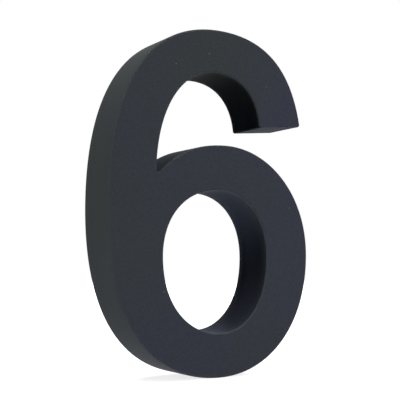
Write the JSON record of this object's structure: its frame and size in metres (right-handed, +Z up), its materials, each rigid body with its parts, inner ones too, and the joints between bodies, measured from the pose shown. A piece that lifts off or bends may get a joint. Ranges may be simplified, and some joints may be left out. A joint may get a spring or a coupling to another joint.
{
  "type": "house number",
  "caption": "House number six in bold upright form: a flat-faced sheet-metal shell with deep straight sides, open behind, held on a wall by hidden studs.",
  "frame": {"origin": "midway between the stud sockets, on the plane of the back rim that meets the wall", "axes": "+Y into the wall, so the face looks toward -Y; +Z up; +X to the reader's right"},
  "size_m": [0.133, 0.03, 0.2],
  "materials": {
    "powder_coat": "fine-texture matt anthracite powder coat",
    "cut_steel": "bare thread cut in the sockets"
  },
  "bodies": {
    "root": {"numeral_six": "powder_coat"}
  },
  "joints": []
}
